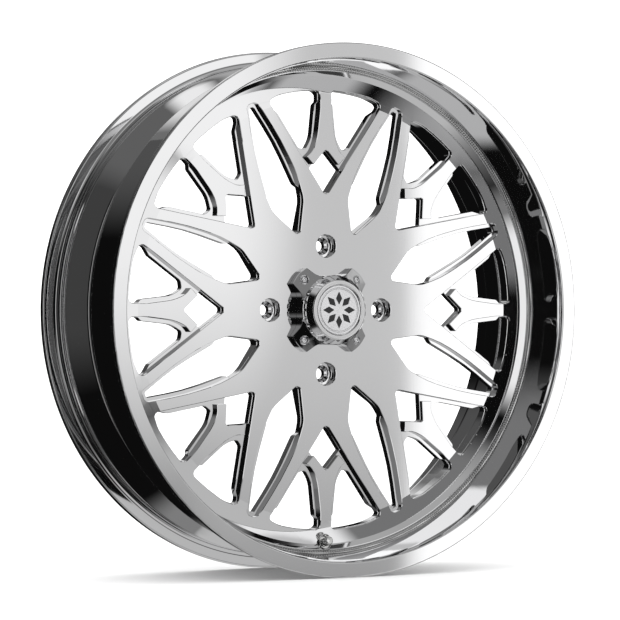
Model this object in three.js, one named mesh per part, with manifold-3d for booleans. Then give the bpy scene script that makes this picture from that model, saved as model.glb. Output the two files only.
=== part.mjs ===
// A two-piece forged off-road wheel: a spoked centre disc welded into a rolled barrel, with a
// screw-on centre cap and a clamp-in tyre valve. Millimetres. The wheel stands upright with its
// axis along Y, its face towards -Y and its origin on the axis, midway between the two flanges.
import * as THREE from "three";
import { mergeVertices } from "three/addons/utils/BufferGeometryUtils.js";
import Module from "manifold-3d";

const wasm = await Module();
wasm.setup();

// ---- driving dimensions ----
const RIM_RADIUS = 322.1; // outside of both flanges
const RIM_WIDTH = 197.4; // over both flanges
const BEAD_RADIUS = 304.8; // bead seat of a 24 inch tyre
const LIP_DEPTH = 64.5; // from the front flange back to the disc's face
const HUB_THICKNESS = 24.2; // from the disc's face back to the mounting pad
const SPOKE_THICKNESS = 17;
const LEDGE_DEPTH = 6.5; // step milled along the spokes' flanks, below the face
const LEDGE_WIDTH = 5;
const SECTORS = 8; // the spoke pattern repeats this many times
const DISC_RADIUS = 296.7; // outside of the disc, inside the barrel's seat
const GAP = 0.3; // left between pieces that touch
const BOLT_CIRCLE = 78; // radius of the four lug holes' circle
const LUGS = 4;
const LUG_POCKET = 13.9; // radius of a lug-nut pocket
const LUG_HOLE = 6.5;
const FRONT_BORE = 38;
const HUB_BORE = 66; // radius of the recess for the vehicle's hub
const CAP_SCREWS = 4;
const SCREW_CIRCLE = 51.9; // radius of the cap screws' circle
const CROWN_RADIUS = 42.5;
const CROWN_HEIGHT = 32.4; // cap crown above the disc's face
const BOSS_RADIUS = 34; // threaded boss that the crown screws onto
const VALVE_CIRCLE = 282.5; // distance of the valve from the axis, at the disc's face
const VALVE_TILT = THREE.MathUtils.degToRad(16); // valve leans outwards towards the rear
const VALVE_POCKET = 9.7; // radius of the pocket round the valve's nut
const STEM_RADIUS = 3.85;

const FRONT = -RIM_WIDTH / 2;
const REAR = RIM_WIDTH / 2;
const FACE = FRONT + LIP_DEPTH;
const PAD = FACE + HUB_THICKNESS;
const SEAT_RADIUS = DISC_RADIUS + GAP;

const ROUND = 64; // facets round the big rings, a multiple of SECTORS
const HALF_FACET = Math.PI / ROUND; // stands the rings on a facet, not on a corner

// ---- materials ----
const finishes = {
  polished: { color: 0xe6e7e9, roughness: 0.08, metalness: 1 },
  weld: { color: 0x9a9b9d, roughness: 0.35, metalness: 1 },
  cap: { color: 0xcfd1d4, roughness: 0.1, metalness: 1 },
  badge: { color: 0xb9babc, roughness: 0.3, metalness: 1 },
  steel: { color: 0xd9dadc, roughness: 0.2, metalness: 1 },
  brass: { color: 0xc9a45a, roughness: 0.35, metalness: 1 },
  rubber: { color: 0x151515, roughness: 0.8, metalness: 0 },
};
const material = (finish) => new THREE.MeshStandardMaterial(finishes[finish]);

// ---- helpers ----

// The geometry's closed surface as a solid, so that solids can be joined and cut.
function solid(geometry) {
  const bare = geometry.index ? geometry.toNonIndexed() : geometry.clone();
  bare.deleteAttribute("normal");
  bare.deleteAttribute("uv");
  const merged = mergeVertices(bare, 1e-3);
  return new wasm.Manifold(
    new wasm.Mesh({
      numProp: 3,
      vertProperties: merged.attributes.position.array,
      triVerts: new Uint32Array(merged.index.array),
    }),
  );
}

// A solid's surface as a three.js geometry.
function geometryOf(body) {
  const { vertProperties, triVerts } = body.getMesh();
  const geometry = new THREE.BufferGeometry();
  geometry.setAttribute("position", new THREE.BufferAttribute(vertProperties, 3));
  geometry.setIndex(new THREE.BufferAttribute(triVerts, 1));
  geometry.computeVertexNormals();
  return geometry;
}

function piece(name, geometry, finish) {
  const mesh = new THREE.Mesh(geometry, material(finish));
  mesh.name = name;
  return mesh;
}

// A section's [radius, y] points as vectors, in the order that turns its faces outwards.
function ordered(section) {
  const area = section.reduce((sum, [r, y], i) => {
    const [nextR, nextY] = section[(i + 1) % section.length];
    return sum + r * nextY - nextR * y;
  }, 0);
  const points = section.map(([r, y]) => new THREE.Vector2(r, y));
  return area > 0 ? points : points.reverse();
}

// A ring turned about Y from a closed section that stays clear of the axis.
function turned(section, facets = ROUND, start = 0) {
  const points = ordered(section);
  return new THREE.LatheGeometry([...points, points[0]], facets, start);
}

// A full solid of revolution, whose section starts and ends on the axis.
const spun = (section, facets) => new THREE.LatheGeometry(ordered(section), facets);

// A round bar from y0 to y1 with its axis along Y.
const bar = (radius, y0, y1, facets = 24) =>
  new THREE.CylinderGeometry(radius, radius, y1 - y0, facets).translate(0, (y0 + y1) / 2, 0);

// An outline through corners [x, z, cut]: each corner is rounded, from a distance of cut before
// it to the same distance after it, or left sharp where cut is 0.
function outline(corners) {
  const shape = new THREE.Shape();
  corners.forEach(([x, z, cut], i) => {
    if (!cut) {
      if (i === 0) shape.moveTo(x, z);
      else shape.lineTo(x, z);
      return;
    }
    const corner = new THREE.Vector2(x, z);
    const ends = [corners.at(i - 1), corners[(i + 1) % corners.length]].map(([ex, ez]) =>
      new THREE.Vector2(ex, ez).sub(corner).setLength(cut).add(corner),
    );
    if (i === 0) shape.moveTo(ends[0].x, ends[0].y);
    else shape.lineTo(ends[0].x, ends[0].y);
    shape.quadraticCurveTo(x, z, ends[1].x, ends[1].y);
  });
  shape.closePath();
  return shape;
}

// A plate of the shape's outline, drawn in X and Z, between two heights along Y.
function plate(shape, yFront, yRear, curveSegments = 2) {
  const geometry = new THREE.ExtrudeGeometry(shape, {
    depth: yRear - yFront,
    bevelEnabled: false,
    curveSegments,
  });
  return geometry.rotateX(Math.PI / 2).translate(0, yRear, 0);
}

const turn = (geometry, angle) => geometry.clone().rotateY(angle);
const union = (bodies) => bodies.reduce((all, body) => all.add(body));
const cutAll = (body, tools) => tools.reduce((left, tool) => left.subtract(tool), body);
const mirrored = (corners) => corners.map(([x, z, cut]) => [-x, z, cut]).reverse();

// Places a geometry made in the valve's own frame: Y runs from the cap towards the tyre, and its
// origin is where the valve's axis meets the plane of the disc's face.
const valveFrame = new THREE.Matrix4()
  .makeTranslation(0, FACE, -VALVE_CIRCLE)
  .multiply(new THREE.Matrix4().makeRotationX(-VALVE_TILT));
const inValveFrame = (geometry) => geometry.clone().applyMatrix4(valveFrame);

// ---- barrel ----

const BAND = 17.6; // width of the flat band on either flange
const WELL_RADIUS = 285;
const SHOULDER_RADIUS = 303;
const WALL = 5;
const VALVE_HOLE = 5.9;
const VALVE_SEAT = 40.2; // along the valve's axis, from the face to its seat in the barrel

function barrel() {
  const section = [
    // front flange
    [RIM_RADIUS - BAND - 1, FRONT + 1],
    [RIM_RADIUS - BAND, FRONT],
    [RIM_RADIUS - 1.5, FRONT],
    [RIM_RADIUS, FRONT + 1.5],
    [RIM_RADIUS, FRONT + 7.5],
    [RIM_RADIUS - 2.6, FRONT + 9.8],
    // tyre side, front bead seat and safety hump
    [BEAD_RADIUS + 4, FRONT + 11],
    [BEAD_RADIUS + 0.6, FRONT + 14.5],
    [BEAD_RADIUS - 1, FRONT + 33],
    [BEAD_RADIUS + 0.4, FRONT + 37.5],
    [SHOULDER_RADIUS, FRONT + 42],
    // shoulder, drop well and rear slope
    [SHOULDER_RADIUS, FACE + 34],
    [WELL_RADIUS, FACE + 45],
    [WELL_RADIUS, FACE + 74],
    [BEAD_RADIUS - 2.3, FACE + 96],
    // rear hump, ridges and bead seat
    [BEAD_RADIUS - 0.6, FACE + 101],
    [BEAD_RADIUS - 1.6, FACE + 104.5],
    [BEAD_RADIUS - 0.4, FACE + 109],
    [BEAD_RADIUS - 1.3, FACE + 113],
    [BEAD_RADIUS + 0.2, FACE + 119.5],
    [BEAD_RADIUS + 3.5, REAR - 9.8],
    // rear flange
    [RIM_RADIUS - 2.6, REAR - 8.8],
    [RIM_RADIUS, REAR - 6.5],
    [RIM_RADIUS, REAR - 1.5],
    [RIM_RADIUS - 1.5, REAR],
    [RIM_RADIUS - BAND, REAR],
    [RIM_RADIUS - BAND - 1, REAR - 1],
    // brake side
    [RIM_RADIUS - 22, REAR - 5],
    [RIM_RADIUS - 22.8, FACE + 100.2],
    [WELL_RADIUS - WALL, FACE + 75.7],
    [WELL_RADIUS - WALL, FACE + 42.2],
    [SEAT_RADIUS, FACE + 31.8],
    // disc seat, front lip wall and its chamfer
    [SEAT_RADIUS, FACE - 5.5],
    [SEAT_RADIUS + 4, FRONT + 8],
    [SEAT_RADIUS + 4.8, FRONT + 4],
  ];
  const ring = solid(turned(section, ROUND, HALF_FACET));
  const hole = solid(inValveFrame(bar(VALVE_HOLE, 20, 60)));
  const spotFace = solid(inValveFrame(bar(8.6, VALVE_SEAT, VALVE_SEAT + 8)));
  return piece("barrel", geometryOf(cutAll(ring, [hole, spotFace])), "polished");
}

// ---- centre disc ----

const SLOPE_START = 257; // the face falls back from here to the ring's edge
const RING_EDGE = 285.7;
const RING_DROP = 6.2;
const LAND = 0.4; // the disc's outer land lies this far behind the face

// The side of a V-shaped spoke that faces its own Y-shaped spoke, as x at distance z out.
const vFlank = (z, inset = 0) => 0.7 * (z - 138) - inset * 1.22;

// Leaf window between two V spokes, pointing up. inset narrows its flanks and its outer tip.
function leaf(inset) {
  const start = inset
    ? [
        [25.3, 151, 0],
        [25.6 - inset, 157, 0],
      ]
    : [[25.8, 168, 12]];
  const right = [
    [23.3, 137, 7],
    ...start,
    [20.5 - inset, 214, 20],
    [7.3 - inset * 0.8, 269 - inset, inset ? 2.5 : 5.5],
  ];
  return outline([[0, 95.5, 9], ...right, ...mirrored(right)]);
}

// Diamond window between the roots of a V spoke and the fork of its Y spoke.
const DIAMOND = [
  [0, 138, 7],
  [23.1, 171, 0],
  [0, 196.5, 4],
  [-23.1, 171, 0],
];

// Groove that parts the end of a Y spoke's arm from the V spoke's flank, down to the ledge.
const GROOVE = [
  [15.5, 175.2, 0],
  [vFlank(169), 169, 0],
  [vFlank(193), 193, 0],
  [26.8, 189.5, 0],
  [26.8, 186.5, 0],
];

// Outer window between the Y spoke's stem and one arm of the V, at the level of the face.
const OUTER_WINDOW_FACE = [
  [8.1, 268.5, 7],
  [7.7, 246, 0],
  [12.3, 208, 10],
  [19, 193, 5],
  [28, 185.5, 0],
  [vFlank(188), 188, 0],
  [vFlank(252.8), 252.8, 7],
  [45, 265.2, 14],
];

// The same window below the ledge, which narrows it beside the spokes but not at its corners.
const OUTER_WINDOW_BELOW = [
  [8.1, 268.5, 6],
  [8, 255, 0],
  [8 + LEDGE_WIDTH, 250, 0],
  [12.3 + LEDGE_WIDTH, 209, 7],
  [26, 196, 3],
  [vFlank(197, LEDGE_WIDTH), 197, 3],
  [vFlank(239, LEDGE_WIDTH), 239, 0],
  [vFlank(244.5), 244.5, 0],
  [vFlank(252.8), 252.8, 6],
  [45, 265.2, 14],
];

const capArmAngle = (i) => Math.PI / 4 + (i * 2 * Math.PI) / CAP_SCREWS;

function centreDisc() {
  const blank = turned(
    [
      [FRONT_BORE, FACE],
      [SLOPE_START, FACE],
      [RING_EDGE, FACE + RING_DROP],
      [RING_EDGE + 5.8, FACE + LAND],
      [DISC_RADIUS, FACE + LAND],
      [DISC_RADIUS, FACE + 23],
      [270, FACE + 23],
      [262, FACE + SPOKE_THICKNESS],
      [122, FACE + SPOKE_THICKNESS],
      [98, PAD],
      [HUB_BORE, PAD],
      [HUB_BORE, FACE + 12],
      [FRONT_BORE, FACE + 12],
    ],
    ROUND,
    HALF_FACET,
  );

  const through = (shape) => plate(shape, FACE - 5, PAD + 5);
  const milled = (shape) => plate(shape, FACE - 5, FACE + LEDGE_DEPTH);
  const bothSides = (corners) => [outline(corners), outline(mirrored(corners))];
  const betweenLeaves = [
    through(outline(DIAMOND)),
    ...bothSides(GROOVE).map(milled),
    ...bothSides(OUTER_WINDOW_FACE).map(milled),
    ...bothSides(OUTER_WINDOW_BELOW).map(through),
  ];
  const leaves = [milled(leaf(0)), through(leaf(LEDGE_WIDTH))];

  const tools = [];
  for (let i = 0; i < SECTORS; i++) {
    const angle = (i * 2 * Math.PI) / SECTORS;
    betweenLeaves.forEach((cut) => tools.push(solid(turn(cut, angle))));
    leaves.forEach((cut) => tools.push(solid(turn(cut, angle + Math.PI / SECTORS))));
  }

  const lug = spun(
    [
      [0, FACE - 5],
      [LUG_POCKET, FACE - 5],
      [LUG_POCKET, FACE + 11],
      [10.5, FACE + 12.5],
      [LUG_HOLE, FACE + 17],
      [LUG_HOLE, PAD + 5],
      [0, PAD + 5],
    ],
    20,
  );
  for (let i = 0; i < LUGS; i++) {
    const placed = lug.clone().translate(0, 0, BOLT_CIRCLE);
    tools.push(solid(turn(placed, (i * 2 * Math.PI) / LUGS)));
  }

  const screwHole = bar(2.6, FACE - 5, FACE + 20, 12).translate(0, 0, SCREW_CIRCLE);
  for (let i = 0; i < CAP_SCREWS; i++) tools.push(solid(turn(screwHole, capArmAngle(i))));

  tools.push(solid(inValveFrame(bar(VALVE_POCKET, -30, 13))));
  tools.push(solid(inValveFrame(bar(VALVE_HOLE, 10, 60))));

  const disc = cutAll(solid(blank), tools);
  return piece("center_disc", geometryOf(disc), "polished");
}

const WELD_LEG = 4.6;

// Fillet welds in the two corners between the disc and the barrel.
function welds() {
  const inner = SEAT_RADIUS - GAP;
  const corner = (y, way) => [
    [inner - WELD_LEG, y],
    [inner - 0.1, y],
    [inner - 0.1, y + WELD_LEG * way],
  ];
  const front = turned(corner(FACE + LAND - GAP, -1), ROUND, HALF_FACET);
  const rear = turned(corner(FACE + 23 + GAP, 1), ROUND, HALF_FACET);
  const nearValve = solid(inValveFrame(bar(VALVE_POCKET + GAP, -30, 13)));
  const throughValve = solid(inValveFrame(bar(VALVE_HOLE + GAP, 10, 60)));
  return [
    piece("front_weld", geometryOf(solid(front).subtract(nearValve)), "weld"),
    piece("rear_weld", geometryOf(solid(rear).subtract(throughValve)), "weld"),
  ];
}

// ---- centre cap ----

const CAP_BODY_TOP = 17.5; // top of the cap base's round body above the face
const ARM_TOP = 8.5;
const ARM_REACH = 60.3;

// The base's outline: four arms with curved scallops between them.
function capBaseOutline() {
  const shape = new THREE.Shape();
  const corner = THREE.MathUtils.degToRad(13);
  const root = THREE.MathUtils.degToRad(31);
  for (let i = 0; i < CAP_SCREWS; i++) {
    const arm = capArmAngle(i);
    const at = (radius, angle) => [radius * Math.cos(angle), radius * Math.sin(angle)];
    const start = at(CROWN_RADIUS, arm - root);
    if (i === 0) shape.moveTo(...start);
    else shape.absarc(0, 0, CROWN_RADIUS, arm - Math.PI / 2 + root, arm - root, false);
    shape.quadraticCurveTo(...at(44, arm - root * 0.62), ...at(ARM_REACH, arm - corner));
    shape.absarc(0, 0, ARM_REACH, arm - corner, arm + corner, false);
    shape.quadraticCurveTo(...at(44, arm + root * 0.62), ...at(CROWN_RADIUS, arm + root));
  }
  shape.absarc(0, 0, CROWN_RADIUS, capArmAngle(3) + root, capArmAngle(4) - root, false);
  return shape;
}

function capBase() {
  const cross = solid(plate(capBaseOutline(), FACE - CAP_BODY_TOP - 5, FACE + 5, 3));
  const dome = solid(
    spun(
      [
        [0, FACE - GAP],
        [ARM_REACH + 5, FACE - GAP],
        [ARM_REACH + 5, FACE - ARM_TOP + 0.7],
        [ARM_REACH, FACE - ARM_TOP],
        [CROWN_RADIUS + 6, FACE - ARM_TOP - 1.5],
        [CROWN_RADIUS + 0.6, FACE - ARM_TOP - 4],
        [CROWN_RADIUS, FACE - CAP_BODY_TOP],
        [0, FACE - CAP_BODY_TOP],
      ],
      40,
    ),
  );
  const boss = solid(bar(BOSS_RADIUS, FACE - 26.2, FACE - 10, 40));
  const spigot = solid(bar(FRONT_BORE - GAP, FACE - 5, FACE + 9, 40));
  const hollow = solid(bar(29, FACE - 30, FACE + 12, 28));
  const holes = [];
  const screwHole = bar(2.9, FACE - 30, FACE + 10, 12).translate(0, 0, SCREW_CIRCLE);
  const headPocket = bar(5.4, FACE - 30, FACE - ARM_TOP + 0.5, 20).translate(0, 0, SCREW_CIRCLE);
  for (let i = 0; i < CAP_SCREWS; i++) {
    holes.push(solid(turn(screwHole, capArmAngle(i))));
    holes.push(solid(turn(headPocket, capArmAngle(i))));
  }
  const body = union([cross.intersect(dome), boss, spigot]);
  return piece("cap_base", geometryOf(cutAll(body, [hollow, ...holes])), "cap");
}

// Button-head screws with hexagon sockets that hold the cap base on the disc.
function capScrews() {
  const seat = FACE - ARM_TOP + 0.5 - GAP;
  const blank = solid(
    spun(
      [
        [0, FACE + 11],
        [2.3, FACE + 11],
        [2.3, seat],
        [4.75, seat],
        [4.4, seat - 1.6],
        [3, seat - 2.6],
        [0, seat - 2.7],
      ],
      16,
    ),
  );
  const socket = solid(bar(1.75, seat - 5, seat - 0.6, 6));
  const geometry = geometryOf(blank.subtract(socket));
  return Array.from({ length: CAP_SCREWS }, (_, i) => {
    const screw = piece(`cap_screw_${i + 1}`, geometry, "steel");
    const angle = capArmAngle(i);
    screw.position.set(SCREW_CIRCLE * Math.sin(angle), 0, SCREW_CIRCLE * Math.cos(angle));
    return screw;
  });
}

// Knurled crown that screws onto the base's boss and carries the badge.
function capCrown() {
  const bottom = FACE - CAP_BODY_TOP - GAP;
  const top = FACE - CROWN_HEIGHT;
  const ring = solid(
    spun(
      [
        [0, FACE - 26.6],
        [BOSS_RADIUS + GAP, FACE - 26.6],
        [BOSS_RADIUS + GAP, FACE - 20.6],
        [37.2, FACE - 20.6],
        [37.2, bottom],
        [CROWN_RADIUS - 1, bottom],
        [CROWN_RADIUS, bottom - 0.8],
        [CROWN_RADIUS, FACE - 22.6],
        [CROWN_RADIUS - 0.9, FACE - 23.6],
        [36.4, top + 0.6],
        [35.6, top],
        [31.2, top],
        [30.3, top + 0.9],
        [30.3, FACE - 29.3],
        [0, FACE - 29.3],
      ],
      48,
    ),
  );
  const notch = bar(1.1, FACE - 22.6, bottom + 2, 4).translate(0, 0, CROWN_RADIUS + 0.5);
  const count = 24;
  const notches = Array.from({ length: count }, (_, i) =>
    solid(turn(notch, (i * 2 * Math.PI) / count)),
  );
  return piece("cap_crown", geometryOf(cutAll(ring, notches)), "cap");
}

// Sealing ring between the base's boss and the crown.
function capOring() {
  const ring = new THREE.TorusGeometry(BOSS_RADIUS + 1.6, 1.15, 6, 32);
  return piece("cap_oring", ring.rotateX(Math.PI / 2).translate(0, FACE - 18.95, 0), "rubber");
}

// ---- valve, made in the valve's own frame ----

// A small ring or disc turned about the valve's axis.
const valveRing = (section, facets = 20) => turned(section, facets);
const tube = (inner, outer, y0, y1) => [
  [inner, y0],
  [outer, y0],
  [outer, y1],
  [inner, y1],
];

function valveStem() {
  return piece(
    "valve_stem",
    valveRing([
      [2.75, -3],
      [STEM_RADIUS - 0.4, -3],
      [STEM_RADIUS, -2.4],
      [STEM_RADIUS, VALVE_SEAT + 4.1],
      [8, VALVE_SEAT + 4.1],
      [8, VALVE_SEAT + 6.2],
      [7.2, VALVE_SEAT + 7],
      [2.75, VALVE_SEAT + 7],
    ]),
    "steel",
  );
}

function valveNut() {
  const chamfer = spun(
    [
      [0, 10.9],
      [7.6, 10.9],
      [8.4, 10.2],
      [8.4, 5.7],
      [7.2, 4.9],
      [0, 4.9],
    ],
    36,
  );
  const hexagon = solid(bar(8.1, 4, 12, 6));
  const bore = solid(bar(STEM_RADIUS + GAP, 0, 20));
  const nut = solid(chamfer).intersect(hexagon).subtract(bore);
  return piece("valve_nut", geometryOf(nut), "steel");
}

function valveCap() {
  const shell = solid(
    valveRing([
      [STEM_RADIUS + GAP, 4],
      [5, 4],
      [5.3, 3.6],
      [5.3, -7.6],
      [4.2, -9],
      [1, -9],
      [1, -4.8],
      [STEM_RADIUS + GAP, -4.8],
    ]),
  );
  const plug = solid(bar(2, -8.8, -4.8));
  const flute = bar(0.6, -6.5, 5, 4).translate(0, 0, 5.6);
  const count = 12;
  const flutes = Array.from({ length: count }, (_, i) =>
    solid(turn(flute, (i * 2 * Math.PI) / count)),
  );
  return piece("valve_cap", geometryOf(cutAll(shell.add(plug), flutes)), "steel");
}

function valveCoreSpring() {
  class Coil extends THREE.Curve {
    getPoint(t, target = new THREE.Vector3()) {
      const angle = t * 2 * Math.PI * 6;
      return target.set(Math.cos(angle), 3.7 + 6.9 * t, Math.sin(angle));
    }
  }
  const wire = new THREE.Shape().absarc(0, 0, 0.16, 0, 2 * Math.PI, false);
  const geometry = new THREE.ExtrudeGeometry(wire, {
    steps: 54,
    curveSegments: 3,
    extrudePath: new Coil(),
  });
  return piece("valve_core_spring", geometry, "steel");
}

function valveCorePin() {
  return piece(
    "valve_core_pin",
    spun(
      [
        [0, -2],
        [0.7, -2],
        [0.7, -1.2],
        [0.45, -1],
        [0.45, 1.2],
        [1.1, 1.2],
        [1.1, 2.2],
        [0.45, 2.2],
        [0.45, 15.1],
        [1.4, 15.1],
        [1.4, 15.9],
        [0, 15.9],
      ],
      12,
    ),
    "brass",
  );
}

function valve() {
  const group = new THREE.Group();
  const core = [
    [1.4, -1],
    [2.1, -1],
    [2.45, -0.6],
    [2.45, 13],
    [0.8, 13],
    [0.8, 11],
    [1.4, 11],
  ];
  const grommet = [
    [STEM_RADIUS + GAP, 36.5],
    [VALVE_HOLE - GAP, 36.5],
    [VALVE_HOLE - GAP, VALVE_SEAT + GAP],
    [8, VALVE_SEAT + GAP],
    [8, VALVE_SEAT + 3.8],
    [STEM_RADIUS + GAP, VALVE_SEAT + 3.8],
  ];
  group.add(
    valveStem(),
    piece("valve_grommet", valveRing(grommet), "rubber"),
    piece("valve_washer", valveRing(tube(STEM_RADIUS + GAP, 8.4, 11.2, 12.7)), "steel"),
    valveNut(),
    piece("valve_core", valveRing(core, 16), "brass"),
    valveCoreSpring(),
    valveCorePin(),
    piece("valve_core_seal", valveRing(tube(0.75, 2.2, 13.3, 14.8), 16), "rubber"),
    piece("valve_cap_seal", spun([[0, -3.3], [3.6, -3.3], [3.6, -4.5], [0, -4.5]], 20), "rubber"),
    valveCap(),
  );
  group.applyMatrix4(valveFrame);
  return group;
}

// ---- the wheel ----

const wheel = new THREE.Group();
wheel.add(
  barrel(),
  centreDisc(),
  ...welds(),
  capBase(),
  ...capScrews(),
  capOring(),
  capCrown(),
  piece("cap_badge", bar(29.9, FACE - 31.1, FACE - 29.3 - GAP, 48), "badge"),
  valve(),
);

export default wheel;
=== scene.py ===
"""The looks of a polished two-piece forged wheel rim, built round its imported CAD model."""

import math

import bmesh
import bpy
import numpy as np
from bpy.props import FloatProperty, FloatVectorProperty, IntProperty, PointerProperty
from mathutils import Matrix, Vector
from mathutils.geometry import delaunay_2d_cdt


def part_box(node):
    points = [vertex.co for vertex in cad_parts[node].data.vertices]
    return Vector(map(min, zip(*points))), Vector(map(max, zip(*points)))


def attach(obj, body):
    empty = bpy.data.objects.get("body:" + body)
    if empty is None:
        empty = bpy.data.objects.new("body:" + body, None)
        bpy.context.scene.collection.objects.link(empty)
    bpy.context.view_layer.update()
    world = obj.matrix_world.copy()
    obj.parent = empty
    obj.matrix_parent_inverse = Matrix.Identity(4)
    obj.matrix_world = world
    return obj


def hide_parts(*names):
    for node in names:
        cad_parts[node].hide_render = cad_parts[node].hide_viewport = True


bl_info = {
    "name": "Forged Wheel Rim",
    "version": (1, 0, 0),
    "blender": (4, 5, 0),
    "location": "View3D > Sidebar > Wheel Rim",
    "description": "Builds a polished, welded two-piece wheel rim with its cap and valve",
    "category": "Object",
}

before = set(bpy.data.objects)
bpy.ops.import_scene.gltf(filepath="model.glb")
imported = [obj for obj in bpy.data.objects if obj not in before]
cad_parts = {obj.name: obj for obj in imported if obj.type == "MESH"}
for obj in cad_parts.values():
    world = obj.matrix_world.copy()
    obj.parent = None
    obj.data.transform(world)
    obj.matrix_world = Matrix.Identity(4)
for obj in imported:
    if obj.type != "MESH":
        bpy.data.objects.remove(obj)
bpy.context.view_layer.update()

# ---- places, in millimetres, read from the frame ----

MM = 0.001
TURN = 2 * math.pi


def low(node):
    """The lowest corner of a CAD node in millimetres."""
    return np.array(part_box(node)[0]) / MM


def high(node):
    """The highest corner of a CAD node in millimetres."""
    return np.array(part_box(node)[1]) / MM


FRONT = low("barrel")[1]
REAR = high("barrel")[1]
FACE = low("center_disc")[1]
PAD = high("center_disc")[1]
RIM_RADIUS = 322.1
BEAD_RADIUS = 304.8
DISC_RADIUS = 296.7
SEAT_RADIUS = DISC_RADIUS + 0.3
SECTORS = 8
SLOPE_START = 257.0
RING_EDGE = 285.7
RING_DROP = 6.2
RAMP_TOP = 291.5
LAND_DROP = 0.4
LEDGE_DEPTH = 6.5
LEDGE_WIDTH = 5.0
BORE = 38.0
HUB_BORE = 66.0
HUB_FACE = 98.0
SPOKE_DEPTH = 17.0
RIM_DEPTH = 23.0
LUG_CIRCLE = 78.0
CROWN_RADIUS = 42.5
ARM_REACH = 60.3
SCREW_CIRCLE = 51.9
VALVE_CIRCLE = 282.5
VALVE_TILT = math.radians(16)
VALVE_POCKET = 9.7
VALVE_HOLE = 5.6
VALVE_BORE = 5.9
VALVE_SEAT = 40.2  # along the valve's axis, from the face to its seat in the barrel
FACETS = 360  # round the large rings

# ---- settings a user would change ----


class WheelSettings(bpy.types.PropertyGroup):
    """Sizes and finishes of the wheel that a user would change."""

    face_chamfer: FloatProperty(
        name="Face chamfer",
        description="Width of the bright chamfer round every window",
        default=0.55 * MM,
        min=0.1 * MM,
        unit="LENGTH",
    )
    knurls: IntProperty(
        name="Knurls",
        description="Notches round the cap's crown",
        default=28,
        min=12,
    )
    weld_ripples: IntProperty(
        name="Weld ripples",
        description="Ripples round each weld bead",
        default=560,
        min=100,
    )
    polish_roughness: FloatProperty(
        name="Polish",
        description="Roughness of the polished alloy",
        default=0.035,
        min=0.0,
        max=1.0,
        subtype="FACTOR",
    )
    alloy_color: FloatVectorProperty(
        name="Alloy",
        description="Colour of the polished alloy",
        default=(0.93, 0.93, 0.935),
        size=3,
        min=0.0,
        max=1.0,
        subtype="COLOR",
    )
    enamel_color: FloatVectorProperty(
        name="Enamel",
        description="Colour of the badge's enamel",
        default=(0.006, 0.006, 0.007),
        size=3,
        min=0.0,
        max=1.0,
        subtype="COLOR",
    )


def settings():
    return bpy.context.scene.wheel_settings


# ---- curves ----


GUARD_GAP = 0.15  # how far beyond an arc its guard points stand, at most


def rounded(corners, closed=True, step=math.radians(6)):
    """A line through corners (a, b, reach), rounded by circular arcs, as an array of points.

    Each arc touches the two sides at the distance reach from its corner, so its radius is reach
    divided by the tangent of half the turn. A corner with reach 0 stays sharp. A guard point on
    each side just beyond the arc keeps the shading of the flats beside it even.
    """
    points = np.array([c[:2] for c in corners], float)
    line = []
    for i, (_, _, reach) in enumerate(corners):
        here = points[i]
        if reach == 0 or (not closed and i in (0, len(corners) - 1)):
            line.append(here[None])
            continue
        back = points[i - 1] - here
        ahead = points[(i + 1) % len(corners)] - here
        back /= np.linalg.norm(back)
        ahead /= np.linalg.norm(ahead)
        turn = math.pi - math.acos(np.clip(back @ ahead, -1, 1))
        if turn < 1e-3:
            line.append(here[None])
            continue
        radius = reach / math.tan(turn / 2)
        middle = back + ahead
        centre = here + middle / np.linalg.norm(middle) * radius / math.cos(turn / 2)
        start = here + back * reach - centre
        end = here + ahead * reach - centre
        guard = min(GUARD_GAP, reach / 2)
        s = np.linspace(0, 1, max(2, math.ceil(turn / step)) + 1)[:, None]
        arc = (np.sin((1 - s) * turn) * start + np.sin(s * turn) * end) / math.sin(turn)
        line += [(centre + start + back * guard)[None], centre + arc]
        line.append((centre + end + ahead * guard)[None])
    return np.concatenate(line)


def offset(loop, distance):
    """A closed outline moved sideways by distance: outwards, away from its inside, when positive.

    Each point moves along the mean of its two sides' normals, by distance over the cosine of half
    the turn between them.
    """
    side = np.roll(loop, -1, 0) - loop
    side /= np.linalg.norm(side, axis=1)[:, None]
    normal = np.stack([side[:, 1], -side[:, 0]], 1)
    if area(loop) < 0:
        normal = -normal
    mean = normal + np.roll(normal, 1, 0)
    mean /= np.linalg.norm(mean, axis=1)[:, None]
    stretch = np.clip((mean * normal).sum(1), 0.5, 1)
    return loop + mean * (distance / stretch)[:, None]


def area(loop):
    """The signed area inside a closed outline, positive when it runs anticlockwise."""
    a, b = loop, np.roll(loop, -1, 0)
    return 0.5 * float((a[:, 0] * b[:, 1] - b[:, 0] * a[:, 1]).sum())


def circle(radius, count, centre=(0.0, 0.0)):
    """A circle as count points in the wheel's plane."""
    turn = np.arange(count) * TURN / count
    return np.stack([radius * np.sin(turn), radius * np.cos(turn)], 1) + np.array(centre)


def spun(loop, turn):
    """A flat outline turned clockwise about the wheel's axis, from +Z towards +X."""
    c, s = math.cos(turn), math.sin(turn)
    return loop @ np.array([[c, -s], [s, c]])


def mirrored(corners):
    return [(-x, z, reach) for x, z, reach in reversed(corners)]


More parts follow.
